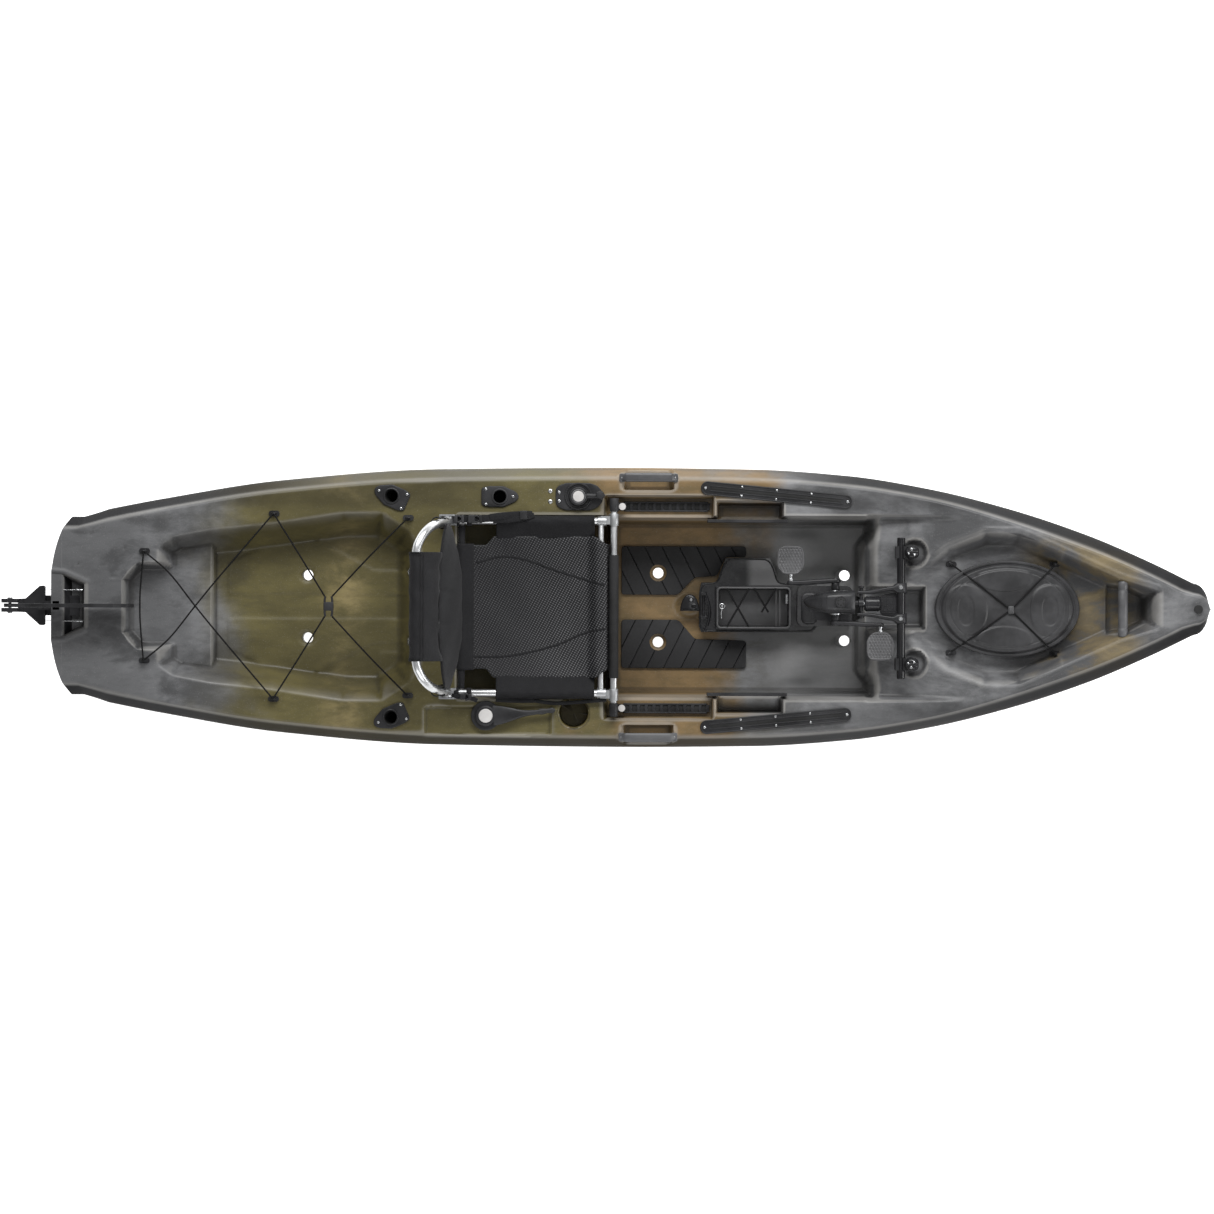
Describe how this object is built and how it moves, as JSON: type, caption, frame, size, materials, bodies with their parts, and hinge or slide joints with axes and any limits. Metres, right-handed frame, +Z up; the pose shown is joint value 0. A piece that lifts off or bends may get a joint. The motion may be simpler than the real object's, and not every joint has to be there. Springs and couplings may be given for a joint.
{
  "type": "pedal boat",
  "caption": "Sit-on-top fishing boat driven by pedals, with a tilting propeller drive, sliding framed seat, rudder, bow hatch and cargo well.",
  "frame": {"origin": "underside of the keel amidships, on the centre line", "axes": "+X towards the bow, +Y to port, +Z up"},
  "size_m": [3.8, 0.888, 1.012],
  "materials": {
    "hull_plastic": "rotomoulded, mottled camouflage",
    "black_plastic": "satin moulded",
    "gloss_plastic_black": "glossy",
    "lid_plastic": "satin moulded",
    "housing_plastic": "satin moulded",
    "grey_plastic": "textured",
    "white_plastic": "satin",
    "pad_foam": "grooved foam",
    "grip_foam": "foam grip",
    "flotation_foam": "closed-cell foam",
    "black_rubber": "matte",
    "cord": "braided cover",
    "black_fabric": "woven",
    "mesh_fabric": "open weave mesh",
    "steel": "brushed",
    "gear_steel": "machined",
    "tube_alloy": "satin anodised",
    "cast_alloy": "cast",
    "black_metal": "powder coat"
  },
  "bodies": {
    "hull": {"hull_shell": "hull_plastic", "flotation_blocks": "flotation_foam", "rod_holders": "black_plastic", "steering_base": "black_plastic", "lift_lever_base": "black_plastic", "seat_tracks": "black_plastic", "accessory_tracks": "black_plastic", "pocket_trims": "black_plastic", "floor_pads": "pad_foam", "carry_handles": "grey_plastic", "bow_handle": "grey_plastic", "bow_plug": "black_rubber", "deck_eyelets": "black_plastic", "deck_bungee": "cord", "bungee_buckle": "black_plastic", "crossbar_saddles": "black_plastic", "rudder_bracket": "black_metal", "rudder_cables": "steel", "hatch_rim": "black_rubber", "hatch_bungee": "cord", "deck_screws": "steel"},
    "hatch": {"hatch_lid": "lid_plastic"},
    "rudder_head": {"rudder_yoke": "black_metal", "blade_pin": "steel"},
    "blade": {"rudder_blade": "black_plastic"},
    "steering": {"steering_handle": "black_plastic", "steering_cap": "white_plastic"},
    "lifter": {"lift_lever": "black_plastic", "lift_lever_cap": "white_plastic"},
    "seat": {"seat_crossbar": "tube_alloy", "seat_grip": "grip_foam", "seat_end_caps": "black_plastic", "seat_castings": "cast_alloy", "seat_frame": "tube_alloy", "seat_pan": "mesh_fabric", "seat_side_sleeves": "black_fabric"},
    "lock_port": {"lock_knob_port": "white_plastic"},
    "lock_starboard": {"lock_knob_starboard": "white_plastic"},
    "backrest": {"backrest_tube": "tube_alloy", "backrest_sleeve": "black_fabric", "backrest_band": "mesh_fabric"},
    "drive": {"drive_plate": "gloss_plastic_black", "drive_yoke": "black_metal", "drive_crossbar": "black_metal", "crank_housing": "housing_plastic", "housing_cap": "black_plastic", "drive_leg": "black_metal", "tray_bungee": "cord", "crank_bearings": "steel"},
    "crank": {"crank_axle": "steel", "crank_arms": "black_metal", "crown_gear": "gear_steel"},
    "port_pedal": {"pedal_port": "grey_plastic"},
    "starboard_pedal": {"pedal_starboard": "grey_plastic"},
    "shaft": {"drive_shaft": "gear_steel"},
    "prop": {"prop_shaft": "steel", "propeller": "black_plastic"},
    "latch": {"rear_latch": "black_plastic"},
    "saddle_latch_port": {"saddle_knob_port": "gloss_plastic_black"},
    "saddle_latch_starboard": {"saddle_knob_starboard": "gloss_plastic_black"}
  },
  "joints": [
    {"name": "hatch_lift", "type": "slide", "parent": "hull", "child": "hatch", "axis": [0, 0, 1], "range_m": [0, 0.06], "deforming": ["hatch_bungee"]},
    {"name": "rudder_steer", "type": "hinge", "parent": "hull", "child": "rudder_head", "pos_m": [-1.85, 0, 0.341], "axis": [0, 0, 1], "range_deg": [-36, 36], "deforming": ["rudder_cables"]},
    {"name": "rudder_flip", "type": "hinge", "parent": "rudder_head", "child": "blade", "pos_m": [-1.95, 0, 0.4], "axis": [0, -1, 0], "range_deg": [0, 262]},
    {"name": "steering_turn", "type": "hinge", "parent": "hull", "child": "steering", "pos_m": [-0.161, 0.35, 0.35], "axis": [0, 0, 1], "range_deg": [-36, 36]},
    {"name": "lift_lever_turn", "type": "hinge", "parent": "hull", "child": "lifter", "pos_m": [-0.452, -0.344, 0.35], "axis": [0, 0, 1], "range_deg": [-170, 0]},
    {"name": "seat_slide", "type": "slide", "parent": "hull", "child": "seat", "axis": [1, 0, 0], "range_m": [0, 0.24]},
    {"name": "backrest_fold", "type": "hinge", "parent": "seat", "child": "backrest", "pos_m": [-0.573, 0, 0.39], "axis": [0, 1, 0], "range_deg": [-8, 75]},
    {"name": "lock_port_lift", "type": "slide", "parent": "seat", "child": "lock_port", "axis": [0, 0, 1], "range_m": [0, 0.012], "stiffness_N_per_m": 400},
    {"name": "lock_starboard_lift", "type": "slide", "parent": "seat", "child": "lock_starboard", "axis": [0, 0, 1], "range_m": [0, 0.012], "stiffness_N_per_m": 400},
    {"name": "drive_tilt", "type": "hinge", "parent": "hull", "child": "drive", "pos_m": [0.859, 0, 0.365], "axis": [0, 1, 0], "range_deg": [0, 90]},
    {"name": "crank_turn", "type": "hinge", "parent": "drive", "child": "crank", "pos_m": [0.652, 0, 0.36], "axis": [0, 1, 0], "continuous": true},
    {"name": "pedal_port_spin", "type": "hinge", "parent": "crank", "child": "port_pedal", "pos_m": [0.51, 0.15, 0.36], "axis": [0, 1, 0], "continuous": true},
    {"name": "pedal_starboard_spin", "type": "hinge", "parent": "crank", "child": "starboard_pedal", "pos_m": [0.794, -0.12, 0.36], "axis": [0, 1, 0], "continuous": true},
    {"name": "shaft_spin", "type": "hinge", "parent": "drive", "child": "shaft", "pos_m": [0.652, 0, 0.1], "axis": [0, 0, 1], "continuous": true},
    {"name": "prop_spin", "type": "hinge", "parent": "drive", "child": "prop", "pos_m": [0.59, 0, -0.138], "axis": [1, 0, 0], "continuous": true},
    {"name": "latch_lift", "type": "hinge", "parent": "drive", "child": "latch", "pos_m": [0.24, 0.006, 0.1555], "axis": [0, 1, 0], "range_deg": [0, 50]},
    {"name": "saddle_port_turn", "type": "hinge", "parent": "hull", "child": "saddle_latch_port", "pos_m": [0.892, 0.177, 0.37], "axis": [0, 0, 1], "range_deg": [0, 90]},
    {"name": "saddle_starboard_turn", "type": "hinge", "parent": "hull", "child": "saddle_latch_starboard", "pos_m": [0.892, -0.177, 0.37], "axis": [0, 0, 1], "range_deg": [-90, 0]}
  ],
  "couplings": [
    {"joint": "rudder_steer", "follows": "steering_turn", "ratio": -1},
    {"joint": "rudder_flip", "follows": "lift_lever_turn", "ratio": -1.5412},
    {"joint": "shaft_spin", "follows": "crank_turn", "ratio": 3.2857},
    {"joint": "prop_spin", "follows": "crank_turn", "ratio": 10.327}
  ]
}
